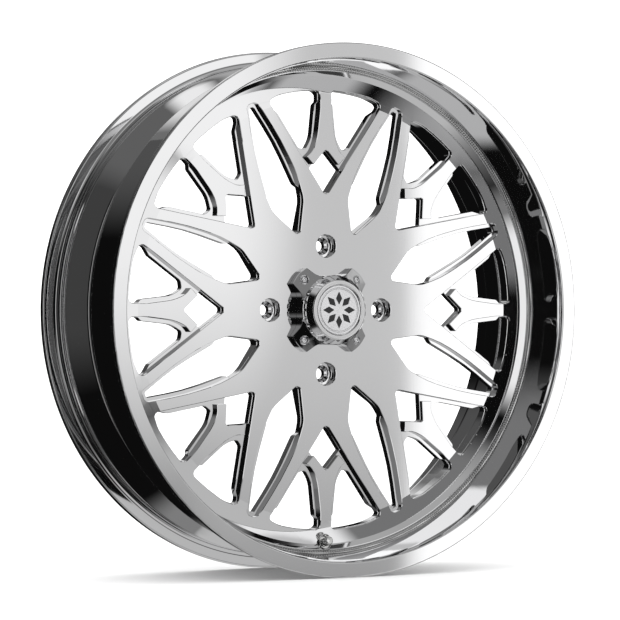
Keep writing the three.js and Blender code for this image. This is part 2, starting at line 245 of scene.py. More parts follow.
def split_at(loop, radii):
    """The outline with a point added wherever it crosses one of the radii.

    On the side from p to q the crossing lies at p + f (q - p), with f a root of
    |p + f (q - p)| = radius.
    """
    for radius in radii:
        p, q = loop, np.roll(loop, -1, 0)
        side = q - p
        a = (side**2).sum(1)
        b = 2 * (p * side).sum(1)
        c = (p**2).sum(1) - radius**2
        root = np.sqrt(np.maximum(b * b - 4 * a * c, 0))
        parts = [np.arange(len(loop), dtype=float)]
        for sign in (-1, 1):
            f = (-b + sign * root) / (2 * a)
            hit = (b * b > 4 * a * c) & (f > 1e-6) & (f < 1 - 1e-6)
            parts.append(np.nonzero(hit)[0] + f[hit])
        at = np.sort(np.concatenate(parts))
        i = at.astype(int)
        loop = p[i] + (at - i)[:, None] * side[i]
    return loop


# ---- meshes ----


class Shell:
    """Collects patches of points and faces in millimetres, and joins them into one mesh."""

    def __init__(self):
        self.points = []
        self.faces = []
        self.count = 0

    def add(self, points, faces):
        self.points.append(points.reshape(-1, 3))
        self.faces += (np.asarray(faces) + self.count).tolist()
        self.count += points.size // 3

    def strip(self, rings):
        """Quads between neighbouring rings, an array of rings by points by 3."""
        rings = np.asarray(rings)
        rows, columns = rings.shape[:2]
        self.add(rings, grid_faces(rows, columns))

    def fan(self, ring, centre):
        """Triangles from a closed ring to one point."""
        n = len(ring)
        i = np.arange(n)
        faces = np.stack([i, (i + 1) % n, np.full(n, n)], 1)
        self.add(np.vstack([ring, [centre]]), faces)

    def piece(self, name, materials, sharp=math.radians(9)):
        """Joins the patches, merges their shared points and turns the faces outwards."""
        mesh = bpy.data.meshes.new(name)
        mesh.from_pydata(np.vstack(self.points) * MM, [], self.faces)
        bm = bmesh.new()
        bm.from_mesh(mesh)
        bmesh.ops.remove_doubles(bm, verts=bm.verts, dist=2e-6)
        bmesh.ops.dissolve_degenerate(bm, edges=bm.edges, dist=1e-7)
        bmesh.ops.recalc_face_normals(bm, faces=bm.faces)
        bm.to_mesh(mesh)
        bm.free()
        mesh.shade_smooth()
        mesh.set_sharp_from_angle(angle=sharp)
        for material in materials:
            mesh.materials.append(material)
        thing = bpy.data.objects.new(name, mesh)
        bpy.context.scene.collection.objects.link(thing)
        return thing


def grid_faces(rows, columns):
    """Quads of a grid of rows by columns of points, closed round the columns."""
    r = np.arange(rows - 1)[:, None]
    c = np.arange(columns)[None]
    n = (c + 1) % columns
    corners = [r * columns + c, r * columns + n, (r + 1) * columns + n, (r + 1) * columns + c]
    return np.stack([k.ravel() for k in np.broadcast_arrays(*corners)], 1)


def lathe(section, turns, closed=True):
    """A section of (radius, y) points turned about the wheel's axis.

    The point at turn t is (radius sin t, y, radius cos t). turns lists the angles.
    """
    section = np.vstack([section, section[:1]]) if closed else section
    r, y = section[:, :1], section[:, 1:]
    t = turns[None]
    return np.stack([r * np.sin(t), y + 0 * t, r * np.cos(t)], 2)


def round_turns(count=FACETS):
    return np.arange(count) * TURN / count


def flat_points(loop, y):
    """An outline in X and Z with its Y given as one number or one for each point."""
    return np.stack([loop[:, 0], np.broadcast_to(y, len(loop)), loop[:, 1]], 1)


def inside(points, loops):
    """Whether each point lies inside an odd number of the closed outlines.

    A ray from the point towards +X crosses a side when the side spans the point's second
    coordinate and meets it further along.
    """
    crossings = np.zeros(len(points), int)
    x, z = points[:, :1], points[:, 1:]
    for loop in loops:
        p, q = loop, np.roll(loop, -1, 0)
        spans = (p[:, 1] > z) != (q[:, 1] > z)
        rise = np.where(q[:, 1] == p[:, 1], 1.0, q[:, 1] - p[:, 1])
        meet = p[:, 0] + (z - p[:, 1]) * (q[:, 0] - p[:, 0]) / rise
        crossings += (spans & (x < meet)).sum(1)
    return crossings % 2 == 1


def crease_arcs(radius, loops):
    """Arcs of one circle between the points where outlines cross it, over material only."""
    points = np.vstack(loops)
    hits = points[np.abs(np.hypot(points[:, 0], points[:, 1]) - radius) < 1e-5]
    if not len(hits):
        return [np.vstack([circle(radius, FACETS), circle(radius, FACETS)[:1]])]
    turns = np.unique(np.round(np.arctan2(hits[:, 0], hits[:, 1]), 9))
    ends = np.roll(turns, -1)
    ends[-1] += TURN
    middle = (turns + ends) / 2
    on_metal = inside(radius * np.stack([np.sin(middle), np.cos(middle)], 1), loops)
    arcs = []
    for start, end in zip(turns[on_metal], ends[on_metal]):
        t = np.linspace(start, end, max(2, math.ceil((end - start) / (TURN / FACETS)) + 1))
        arcs.append(radius * np.stack([np.sin(t), np.cos(t)], 1))
    return arcs


def sheet(loops, height, creases=()):
    """Points and triangles of the area inside the outlines, at y = height(radius).

    The outlines and the creases are edges of a constrained Delaunay triangulation, and the
    triangles whose centres lie outside the area are dropped.
    """
    lines = [(loop, True) for loop in loops]
    lines += [(arc, False) for radius in creases for arc in crease_arcs(radius, loops)]
    points, edges, count = [], [], 0
    for line, closed in lines:
        n = len(line)
        i = np.arange(n if closed else n - 1)
        edges.append(np.stack([i, (i + 1) % n], 1) + count)
        points.append(line)
        count += n
    flat = [Vector(p) for p in np.vstack(points).tolist()]
    made = delaunay_2d_cdt(flat, np.vstack(edges).tolist(), [], 0, 1e-5)
    corners = np.array([tuple(v) for v in made[0]])
    triangles = np.array(made[2])
    keep = inside(corners[triangles].mean(1), loops)
    y = height(np.hypot(corners[:, 0], corners[:, 1]))
    return flat_points(corners, y), triangles[keep]


# ---- materials ----


def node_group(name, inputs, outputs, build):
    """A shader node group with named inputs (name, type, default) and outputs (name, type)."""
    tree = bpy.data.node_groups.new(name, "ShaderNodeTree")
    for label, kind, default in inputs:
        socket = tree.interface.new_socket(label, in_out="INPUT", socket_type=kind)
        socket.default_value = default
    for label, kind in outputs:
        tree.interface.new_socket(label, in_out="OUTPUT", socket_type=kind)
    build(tree, tree.nodes.new("NodeGroupInput").outputs, tree.nodes.new("NodeGroupOutput").inputs)
    return tree


def calc(tree, operation, *values, clamp=False):
    """A Math node on values that are numbers or sockets. Returns its output."""
    node = tree.nodes.new("ShaderNodeMath")
    node.operation = operation
    node.use_clamp = clamp
    for socket, value in zip(node.inputs, values):
        if isinstance(value, (int, float)):
            socket.default_value = value
        else:
            tree.links.new(value, socket)
    return node.outputs[0]


def noise(tree, vector, scale, detail=3.0, roughness=0.55):
    node = tree.nodes.new("ShaderNodeTexNoise")
    node.inputs["Scale"].default_value = scale
    node.inputs["Detail"].default_value = detail
    node.inputs["Roughness"].default_value = roughness
    tree.links.new(vector, node.inputs["Vector"])
    return node.outputs["Fac"]


def mapped(tree, vector, scale=(1, 1, 1), turn=(0, 0, 0)):
    node = tree.nodes.new("ShaderNodeMapping")
    node.inputs["Scale"].default_value = scale
    node.inputs["Rotation"].default_value = turn
    tree.links.new(vector, node.inputs["Vector"])
    return node.outputs["Vector"]


def build_buffing(tree, given, made):
    """Fine buffing marks: two crossed families of stretched noise, and soft patches of haze."""
    position = given["Position"]
    first = noise(tree, mapped(tree, position, (900, 120, 40), (0.2, 0.4, 0.5)), 1.0, 2.0)
    second = noise(tree, mapped(tree, position, (60, 150, 1100), (0.1, -0.7, 0.2)), 1.0, 2.0)
    marks = calc(tree, "MULTIPLY", calc(tree, "ADD", first, second), 0.5)
    haze = noise(tree, position, 9.0, 4.0, 0.6)
    scratch = calc(tree, "MULTIPLY", calc(tree, "SUBTRACT", marks, 0.5), given["Marks"])
    cloud = calc(tree, "MULTIPLY", calc(tree, "SUBTRACT", haze, 0.5), given["Haze"])
    base = calc(tree, "ADD", given["Roughness"], cloud)
    tree.links.new(calc(tree, "ADD", base, scratch, clamp=True), made["Roughness"])
    tree.links.new(marks, made["Height"])
    tree.links.new(haze, made["Haze"])


def build_turning(tree, given, made):
    """Lathe marks: rings about the wheel's axis, their pitch broken up by a little noise."""
    axes = tree.nodes.new("ShaderNodeSeparateXYZ")
    tree.links.new(given["Position"], axes.inputs[0])
    x, z = axes.outputs["X"], axes.outputs["Z"]
    square = calc(tree, "ADD", calc(tree, "MULTIPLY", x, x), calc(tree, "MULTIPLY", z, z))
    radius = calc(tree, "ADD", calc(tree, "SQRT", square), axes.outputs["Y"])
    rings = calc(tree, "SINE", calc(tree, "MULTIPLY", radius, given["Rings"]))
    join = tree.nodes.new("ShaderNodeCombineXYZ")
    tree.links.new(calc(tree, "MULTIPLY", radius, 1500), join.inputs[0])
    uneven = noise(tree, join.outputs[0], 1.0, 2.0)
    tree.links.new(calc(tree, "MULTIPLY", rings, uneven), made["Height"])


def build_grain(tree, given, made):
    """A fine even grain."""
    tree.links.new(noise(tree, given["Position"], 2500.0), made["Height"])


def build_tone(tree, given, made):
    """A colour darkened by a share of a mask."""
    shade = tree.nodes.new("ShaderNodeMix")
    shade.data_type = "RGBA"
    shade.blend_type = "MULTIPLY"
    tree.links.new(calc(tree, "MULTIPLY", given["Mask"], given["Share"]), shade.inputs["Factor"])
    tree.links.new(given["Color"], shade.inputs[6])
    tree.links.new(given["Tint"], shade.inputs[7])
    tree.links.new(shade.outputs[2], made["Color"])


def groups():
    """The node groups that the materials share, made once."""
    if "buffing_marks" in bpy.data.node_groups:
        return
    number, vector, color = "NodeSocketFloat", "NodeSocketVector", "NodeSocketColor"
    node_group(
        "buffing_marks",
        [
            ("Position", vector, (0, 0, 0)),
            ("Roughness", number, 0.1),
            ("Marks", number, 0.05),
            ("Haze", number, 0.05),
        ],
        [("Roughness", number), ("Height", number), ("Haze", number)],
        build_buffing,
    )
    node_group(
        "turning_rings",
        [
            ("Position", vector, (0, 0, 0)),
            ("Rings", number, 9000.0),
        ],
        [("Height", number)],
        build_turning,
    )
    node_group(
        "fine_grain",
        [("Position", vector, (0, 0, 0))],
        [("Height", number)],
        build_grain,
    )
    node_group(
        "toned_color",
        [
            ("Color", color, (1, 1, 1, 1)),
            ("Tint", color, (0.5, 0.5, 0.5, 1)),
            ("Mask", number, 0.5),
            ("Share", number, 0.2),
        ],
        [("Color", color)],
        build_tone,
    )


def place_group(tree, name, **values):
    """A node of a shared group. Values are numbers, colours or sockets to link."""
    node = tree.nodes.new("ShaderNodeGroup")
    node.node_tree = bpy.data.node_groups[name]
    for label, value in values.items():
        socket = node.inputs[label.replace("_", " ")]
        if isinstance(value, bpy.types.NodeSocket):
            tree.links.new(value, socket)
        else:
            socket.default_value = value
    return node.outputs


def metal(name, color, roughness, marks, haze, rings=0.0, bump=0.00002, tint=(0.6, 0.6, 0.62, 1)):
    """A metal with buffing marks and haze, and lathe rings where rings is above 0."""
    found = bpy.data.materials.get(name)
    if found:
        return found
    groups()
    material = bpy.data.materials.new(name)
    material.use_nodes = True
    tree = material.node_tree
    shader = tree.nodes["Principled BSDF"]
    position = tree.nodes.new("ShaderNodeTexCoord").outputs["Object"]
    worn = place_group(
        tree, "buffing_marks", Position=position, Roughness=roughness, Marks=marks, Haze=haze
    )
    toned = place_group(
        tree, "toned_color", Color=(*color, 1), Tint=tint, Mask=worn["Haze"], Share=0.12
    )
    shader.inputs["Metallic"].default_value = 1.0
    tree.links.new(toned["Color"], shader.inputs["Base Color"])
    tree.links.new(worn["Roughness"], shader.inputs["Roughness"])
    relief = tree.nodes.new("ShaderNodeBump")
    relief.inputs["Distance"].default_value = bump
    height = worn["Height"]
    if rings:
        turned = place_group(tree, "turning_rings", Position=position, Rings=rings)
        height = calc(tree, "ADD", height, turned["Height"])
    tree.links.new(height, relief.inputs["Height"])
    tree.links.new(relief.outputs[0], shader.inputs["Normal"])
    return material


def polished():
    s = settings()
    return metal("polished_alloy_finish", tuple(s.alloy_color), s.polish_roughness, 0.015, 0.02, bump=1e-6)


def cap_alloy():
    return metal("cap_alloy_finish", (0.92, 0.92, 0.925), 0.05, 0.02, 0.03, bump=2e-6)


def weld_alloy():
    return metal("weld_alloy_finish", (0.8, 0.8, 0.8), 0.22, 0.1, 0.2, bump=1e-5)


def badge_alloy():
    return metal("badge_plate_finish", (0.85, 0.85, 0.86), 0.2, 0.06, 0.05, rings=7000, bump=8e-6)


def screw_steel():
    return metal("screw_steel_finish", (0.85, 0.85, 0.86), 0.12, 0.1, 0.08, bump=1e-5)


def valve_plate():
    return metal("valve_plate_finish", (0.88, 0.88, 0.87), 0.1, 0.06, 0.06, bump=6e-6)


def brass():
    return metal(
        "brass_finish", (0.83, 0.62, 0.28), 0.25, 0.12, 0.12, bump=1e-5, tint=(0.4, 0.28, 0.14, 1)
    )


def dull(name, color, roughness, bump, tint):
    """A paint, enamel or rubber: one colour mottled by haze, with a fine grain in relief."""
    found = bpy.data.materials.get(name)
    if found:
        return found
    groups()
    material = bpy.data.materials.new(name)
    material.use_nodes = True
    tree = material.node_tree
    shader = tree.nodes["Principled BSDF"]
    position = tree.nodes.new("ShaderNodeTexCoord").outputs["Object"]
    worn = place_group(
        tree, "buffing_marks", Position=position, Roughness=roughness, Marks=0.05, Haze=0.1
    )
    toned = place_group(
        tree, "toned_color", Color=(*color, 1), Tint=tint, Mask=worn["Haze"], Share=0.5
    )
    tree.links.new(toned["Color"], shader.inputs["Base Color"])
    tree.links.new(worn["Roughness"], shader.inputs["Roughness"])
    relief = tree.nodes.new("ShaderNodeBump")
    relief.inputs["Distance"].default_value = bump
    grain = place_group(tree, "fine_grain", Position=position)
    tree.links.new(grain["Height"], relief.inputs["Height"])
    tree.links.new(relief.outputs[0], shader.inputs["Normal"])
    return material


def rubber():
    return dull("rubber_finish", (0.018, 0.018, 0.019), 0.62, 4e-5, (0.5, 0.5, 0.5, 1))


def enamel():
    return dull("enamel_finish", tuple(settings().enamel_color), 0.25, 5e-6, (0.6, 0.6, 0.6, 1))


# ---- barrel ----


def barrel_section():
    """The barrel's closed section as (radius, y), from the front lip round the tyre side."""
    r, bead = RIM_RADIUS, BEAD_RADIUS
    return rounded(
        [
            (r - 17.6, FRONT, 0.4),
            (r, FRONT, 1.6),
            (r, FRONT + 8.6, 2.4),
            (bead + 3.4, FRONT + 10.6, 5.5),
            (bead - 0.6, FRONT + 26, 6),
            (bead - 1.1, FRONT + 33.5, 2),
            (bead + 0.7, FRONT + 37.2, 1.8),
            (303, FRONT + 43, 3),
            (303, FACE + 33.5, 2.6),
            (285, FACE + 45, 5),
            (285, FACE + 73.5, 5),
            (bead - 2.4, FACE + 96, 2.5),
            (bead + 0.1, FACE + 99.5, 1.4),
            (bead - 0.6, FACE + 102.5, 1.2),
            (bead - 1.7, FACE + 105.5, 1.3),
            (bead - 0.3, FACE + 108.7, 0.8),
            (bead - 1.5, FACE + 111.5, 1.2),
            (bead - 1.3, FACE + 115.5, 1),
            (bead + 0.3, FACE + 118.5, 1),
            (bead + 0.5, REAR - 13, 2),
            (bead + 3.4, REAR - 10.2, 2.5),
            (r, REAR - 8.2, 2.4),
            (r, REAR, 1.6),
            (r - 17.6, REAR, 0.6),
            (r - 22, REAR - 5.5, 2.5),
            (r - 22.8, FACE + 100.5, 6),
            (280, FACE + 76, 6),
            (280, FACE + 42, 5),
            (SEAT_RADIUS - 0.3, FACE + 31.5, 2),
            (SEAT_RADIUS - 0.3, FACE - 1, 0.5),
            (SEAT_RADIUS + 4.2, FRONT + 8.5, 2),
            (SEAT_RADIUS + 5.2, FRONT + 4.4, 1.2),
            (r - 18.7, FRONT + 1.1, 0.4),
        ],
        step=math.radians(9),
    )


def refined(section, low, high, step=0.5):
    """A closed section with extra points, about step apart, on the sides between two Y levels."""
    points = []
    for p, q in zip(section, np.roll(section, -1, 0)):
        within = low < min(p[1], q[1]) and max(p[1], q[1]) < high
        count = max(1, math.ceil(np.linalg.norm(q - p) / step)) if within else 1
        points.append(p + (q - p) * np.arange(count)[:, None] / count)
    return np.concatenate(points)


PRESS_RADIUS = 8.6  # of the flat that the grommet seats on
PRESS_SPAN = (30, 52)  # the stretch of the valve's axis where the barrel is pressed back


def seated(rings):
    """The barrel's rings pressed back along the valve's axis, to seat the grommet and the stem.

    In the valve's frame, points on the tyre side within the seat's radius move down to the seat's
    depth, and points on the other side within the hole's radius move up to just under it.
    """
    c, s = math.cos(VALVE_TILT), math.sin(VALVE_TILT)
    up = rings[..., 1] - FACE
    out = -rings[..., 2] - VALVE_CIRCLE
    a, b, t = rings[..., 0], c * out - s * up, c * up + s * out
    away = np.hypot(a, b)
    near = (t > PRESS_SPAN[0]) & (t < PRESS_SPAN[1])
    t = np.where(near & (away < PRESS_RADIUS) & (t > VALVE_SEAT), VALVE_SEAT, t)
    t = np.where(near & (away < VALVE_BORE) & (t < VALVE_SEAT), VALVE_SEAT - 0.3, t)
    return valve_point(a, b, t)


class WHEEL_OT_barrel(bpy.types.Operator):
    """Turns the barrel's section into the rolled and polished barrel"""

    bl_idname = "wheel.barrel"
    bl_label = "Barrel"

    def execute(self, context):
        shell = Shell()
        section = refined(barrel_section(), FACE + 31, FACE + 46)
        dense = math.pi + np.linspace(-9.5, 9.5, 39) / VALVE_CIRCLE
        turns = np.unique(np.round(np.concatenate([round_turns(), dense]), 9))
        shell.strip(seated(lathe(section, turns)))
        thing = shell.piece("barrel_shell", [polished()])
        finish_piece(thing, "wheel", "polished_alloy", "barrel")
        return {"FINISHED"}


def finish_piece(thing, body, slot, *nodes):
    """Ties a new piece to its body, and lets it stand for its CAD nodes by hiding them. The slot is not
    used.
    """
    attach(thing, body)
    if nodes:
        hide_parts(*nodes)


# ---- centre disc ----


def front_height(radius):
    """Y of the disc's front: flat, falling back to the ring's edge, then up a ramp to the land."""
    steps = [0, SLOPE_START, RING_EDGE, RAMP_TOP, DISC_RADIUS + 1]
    drops = [0, 0, RING_DROP, LAND_DROP, LAND_DROP]
    return FACE + np.interp(radius, steps, drops)


def rear_height(radius):
    """Y of the disc's back: hub pad, taper to the spokes, and a thicker outer ring."""
    steps = [0, HUB_FACE, 122, 262, 270, DISC_RADIUS + 1]
    depths = [PAD - FACE, PAD - FACE, SPOKE_DEPTH, SPOKE_DEPTH, RIM_DEPTH, RIM_DEPTH]
    return FACE + np.interp(radius, steps, depths)


def flank(z, inset=0.0):
    """X of the V spoke's inner flank at distance z out, moved inwards by inset."""
    return 0.7 * (z - 138) - inset * 1.22


def outer_arc(radius, first, last, count=4):
    """Corners of a tangent polygon whose rounded form is an arc of the radius."""
    turns = np.linspace(first, last, count)
    half = (turns[1] - turns[0]) / 2
    reach = radius * math.tan(abs(half)) * 0.98
    tip = radius / math.cos(half)
    return [(tip * math.sin(t), tip * math.cos(t), reach) for t in turns]


SKIN = 0.6  # how far a lower outline stays inside the one above it where they share a wall


def chevron():
    """The window between the arms of one V spoke at the face, round the end of its Y spoke."""
    right = [
        (flank(252.8), 252.8, 7),
        *outer_arc(268.5, 0.238, 0.09),
        (8.1, 268.4, 6.5),
        (7.7, 246, 4),
        (12.3, 208, 10),
        (19, 193, 5),
        (26.8, 186.5, 1),
        (17.5, 177, 1),
    ]
    return rounded([(0, 138, 7), *right, (0, 196.5, 4), *mirrored(right)])


def diamond():
    """The lower outline of the window between a V spoke's root and its Y spoke's fork."""
    side = (23.1 - SKIN, 171, 0.8)
    return rounded([(0, 138 + SKIN, 7), side, (0, 196.5 - SKIN, 4), *mirrored([side])])


def outer_window():
    """The lower outline of the window on one side of a Y spoke's stem."""
    return rounded(
        [
            (8.1 + SKIN, 268.4 - SKIN, 6),
            (8 + SKIN, 254.5, 1.5),
            (8 + LEDGE_WIDTH, 250, 1.5),
            (12.3 + LEDGE_WIDTH, 209, 8),
            (25.5, 195.5, 3),
            (flank(197, LEDGE_WIDTH), 197, 3),
            (flank(239, LEDGE_WIDTH), 239, 1.5),
            (flank(244.5, SKIN), 244.5, 1.5),
            (flank(252.8, SKIN), 252.8 - SKIN, 6),
            *outer_arc(268.5 - SKIN, 0.235, 0.09),
        ]
    )


def leaf(inset=0.0):
    """The long window between two V spokes. inset narrows its flanks and its outer tip."""
    skin = SKIN if inset else 0.0
    start = [(25.1, 151, 1.5), (25.8 - inset, 157, 3)] if inset else [(25.8, 168, 14)]
    right = [
        (23.3 - skin, 137, 7),
        *start,
        (20.5 - inset, 214, 22),
        (7.3 - inset * 0.8, 269 - inset, 2.5 if inset else 5.5),
    ]
    return rounded([(0, 95.5 + skin, 9), *right, *mirrored(right)])


def walls(shell, upper, lower, chamfer, open_above):
    """The chamfer and the two walls that join an outline at the face to its ledge.

    The outline runs at the foot of the chamfer. Its ring at the face lies outside it by the
    chamfer's width.
    """
    wide = offset(upper, chamfer)
    face_y = open_above(np.hypot(wide[:, 0], wide[:, 1]))
    top = open_above(np.hypot(upper[:, 0], upper[:, 1])) + chamfer
    shell.strip([flat_points(wide, face_y), flat_points(upper, top), flat_points(upper, lower)])
    return wide


def deep_walls(shell, outline, start, chamfer, rear_chamfer):
    """Chamfer, wall and rear chamfer of an outline that goes through from the ledge."""
    wide = offset(outline, chamfer)
    back = offset(outline, rear_chamfer)
    back_y = rear_height(np.hypot(back[:, 0], back[:, 1]))
    foot = rear_height(np.hypot(outline[:, 0], outline[:, 1])) - rear_chamfer
    shell.strip(
        [
            flat_points(wide, start),
            flat_points(outline, start + chamfer),
            flat_points(outline, foot),
            flat_points(back, back_y),
        ]
    )
    return wide, back


def valve_point(a, b, t):
    """The place (mm) of a point in the valve's frame: a along X, b outwards, t to the rear.

    The valve's axis leaves the face's plane on the valve circle, and leans outwards by the tilt.
    """
    c, s = math.cos(VALVE_TILT), math.sin(VALVE_TILT)
    return np.stack([a, FACE + c * t - s * b, -(VALVE_CIRCLE + s * t + c * b)], -1)


def valve_ring(radius, t, count=72):
    """A ring about the valve's axis, at t along it."""
    turn = round_turns(count)
    return valve_point(radius * np.sin(turn), radius * np.cos(turn), t + 0 * turn)


def valve_mouth(radius, height, guess, count=72):
    """The ring where a bore about the valve's axis comes out through a surface.

    t along the axis starts at guess and is corrected until y equals height(radius from the
    wheel's axis).
    """
    t = np.full(count, float(guess))
    for _ in range(30):
        turn = round_turns(count)
        ring = valve_point(radius * np.sin(turn), radius * np.cos(turn), t)
        t += (height(np.hypot(ring[:, 0], ring[:, 2])) - ring[:, 1]) * 0.8
    return ring


def lug_rings():
    """The (radius, y) steps of a lug pocket: chamfer, bore, cone seat, stud hole, rear chamfer."""
    return [
        (14.4, FACE),
        (13.9, FACE + 0.5),
        (13.9, FACE + 10.6),
        (13.5, FACE + 11),
        (10.6, FACE + 11.4),
        (10.2, FACE + 11.8),
        (6.8, FACE + 16.6),
        (6.5, FACE + 17.2),
        (6.5, PAD - 0.8),
        (7.3, PAD),
    ]


def disc_windows(shell, chamfer):
    """Builds the walls and ledges of every window. Returns the outlines at the face and at the back."""
    face_loops, back_loops = [], []
    ledge = FACE + LEDGE_DEPTH
    pairs = [
        (0.0, chevron(), [diamond(), outer_window(), outer_window() * (-1, 1)]),
        (0.5, leaf(), [leaf(LEDGE_WIDTH)]),
    ]
    for k in range(SECTORS):
        for start, upper, lowers in pairs:
            turn = (k + start) * TURN / SECTORS
            outline = split_at(spun(upper, turn), [SLOPE_START])
            face_loops.append(walls(shell, outline, ledge, chamfer, front_height))
            edge = [outline]
            for lower in lowers:
                deep = split_at(spun(lower, turn), [262.0])
                wide, back = deep_walls(shell, deep, ledge, 0.4, 0.7)
                edge.append(wide)
                back_loops.append(back)
            shell.add(*sheet(edge, lambda radius: ledge + 0 * radius))
    return face_loops, back_loops


class WHEEL_OT_disc(bpy.types.Operator):
    """Builds the spoked centre disc: its faces, window walls, ledges, lug pockets and bore"""

    bl_idname = "wheel.disc"
    bl_label = "Centre disc"

    def execute(self, context):
        shell = Shell()
        chamfer = settings().face_chamfer / MM
        faces, backs = disc_windows(shell, chamfer)
        for k in range(4):
            centre = (LUG_CIRCLE * math.sin(k * TURN / 4), LUG_CIRCLE * math.cos(k * TURN / 4))
            rings = [flat_points(circle(r, 64, centre), y) for r, y in lug_rings()]
            shell.strip(rings)
            faces.append(rings[0][:, ::2])
            backs.append(rings[-1][:, ::2])
        faces = [split_at(loop, [SLOPE_START]) for loop in faces]
        backs = [split_at(loop, [262.0]) for loop in backs]
        pocket = valve_mouth(VALVE_POCKET + 0.4, front_height, 0)
        pocket = fitted(pocket, front_height, [RING_EDGE, RAMP_TOP])
        shell.strip(valve_pocket(pocket))
        hole = valve_mouth(VALVE_HOLE, rear_height, 24)
        shell.strip([valve_ring(VALVE_HOLE, 13.0), hole])
        front = [circle(DISC_RADIUS, FACETS), circle(BORE, FACETS), *faces, pocket[:, ::2]]
        shell.add(*sheet(front, front_height, [SLOPE_START, RING_EDGE, RAMP_TOP]))
        rear = [circle(DISC_RADIUS, FACETS), circle(HUB_BORE, FACETS), *backs, hole[:, ::2]]
        shell.add(*sheet(rear, rear_height, [HUB_FACE, 122.0, 262.0, 270.0]))
        turns = round_turns()
        edge = np.array([(DISC_RADIUS, FACE + LAND_DROP), (DISC_RADIUS, FACE + RIM_DEPTH)])
        shell.strip(lathe(edge, turns, closed=False))
        bore = np.array([(BORE, FACE), (BORE, FACE + 12), (HUB_BORE, FACE + 12), (HUB_BORE, PAD)])
        shell.strip(lathe(bore, turns, closed=False))
        thing = shell.piece("disc_forging", [polished()])
        finish_piece(thing, "wheel", "polished_alloy", "center_disc")
        return {"FINISHED"}


def fitted(ring, height, radii):
    """A ring on a surface with points added where it crosses the surface's creases."""
    flat = split_at(ring[:, ::2], radii)
    return flat_points(flat, height(np.hypot(flat[:, 0], flat[:, 1])))


def valve_pocket(mouth):
    """Rings of the valve's pocket from its mouth down the wall to the seat and its hole.

    Every ring has the mouth's points moved along the valve's axis, then drawn in towards it.
    """
    c, s = math.cos(VALVE_TILT), math.sin(VALVE_TILT)
    x = mouth[:, 0]
    up = mouth[:, 1] - FACE
    out = -mouth[:, 2] - VALVE_CIRCLE
    t = c * up + s * out
    b = c * out - s * up
    away = np.hypot(x, b)
    rings = [mouth]
    for radius, depth in ((VALVE_POCKET, 0.5), (VALVE_POCKET, None), (VALVE_HOLE, None)):
        level = np.full(len(t), 13.0) if depth is None else t + depth
        rings.append(valve_point(x / away * radius, b / away * radius, level))
    return rings


# ---- welds ----


def bead_rings(root_y, toward, height=4.5):
    """Rings of a weld bead in the corner between disc and barrel.

    Across the bead s runs from 0 at the disc to 1 at the barrel, and the surface stands
    0.25 height sin(pi s) off the straight line between its feet. Along the bead the surface
    swells by 0.35 mm times |sin| of half the ripples' angle, plus a slow wander.
    """
    ripples = settings().weld_ripples
    t = round_turns(ripples * 4)[None]
    s = np.linspace(0, 1, 9)[:, None]
    wander = 0.12 * np.sin(t * 37) * np.sin(t * 11 + 1)
    bend = (ripples * t + 3.5 * np.sin(math.pi * s)) / 2
    swell = 0.25 * height * np.sin(math.pi * s) * (0.8 + 0.35 * np.abs(np.sin(bend)) + wander)
    r = DISC_RADIUS - 0.05 - height * (1 - s) - swell * 0.7
    y = root_y + toward * (height * s + swell * 0.7)
    rings = np.stack([r * np.sin(t), y + 0 * t, r * np.cos(t)], 2)
    corner = np.array([(DISC_RADIUS - 0.05, root_y)])
    hidden = lathe(corner, t[0], closed=False)
    return np.concatenate([rings, hidden, rings[:1]])


class WHEEL_OT_welds(bpy.types.Operator):
    """Lays the rippled weld beads that join the disc and the barrel, front and rear"""

    bl_idname = "wheel.welds"
    bl_label = "Welds"

    def execute(self, context):
        beads = (("front", FACE + LAND_DROP, -1), ("rear", FACE + RIM_DEPTH, 1))
        for name, root_y, toward in beads:
            shell = Shell()
            shell.strip(bead_rings(root_y, toward))
            thing = shell.piece(f"{name}_bead", [weld_alloy()], math.radians(50))
            finish_piece(thing, "wheel", "weld_alloy", f"{name}_weld")
        return {"FINISHED"}


# ---- centre cap ----

CAP_TOP = 17.5
DOME_STEPS = [0, CROWN_RADIUS + 0.1, 43.1, 62]
DOME_RISES = [-CAP_TOP, -CAP_TOP, -13.9, -7]


def dome(radius):
    """Y of the cap base's top: flat under the crown, then falling away along the arms."""
    return FACE + np.interp(radius, DOME_STEPS, DOME_RISES)


def cap_outline():
    """The cap base's outline: four arms with flat ends on a round body."""
    corners = []
    for k in range(4):
        arm = math.pi / 4 + k * math.pi / 2

        def at(radius, degrees):
            t = arm + math.radians(degrees)
            return radius * math.sin(t), radius * math.cos(t)

        corners += [
            (*at(CROWN_RADIUS, -44), 0),
            (*at(CROWN_RADIUS, -38), 0),
            (*at(CROWN_RADIUS, -32), 1.5),
            (*at(45.6, -20), 5.5),
            (*at(ARM_REACH, -13.2), 0.8),
            (*at(ARM_REACH + 1.2, 0), 6),
            (*at(ARM_REACH, 13.2), 0.8),
            (*at(45.6, 20), 5.5),
            (*at(CROWN_RADIUS, 32), 1.5),
            (*at(CROWN_RADIUS, 38), 0),
        ]
    return rounded(corners)


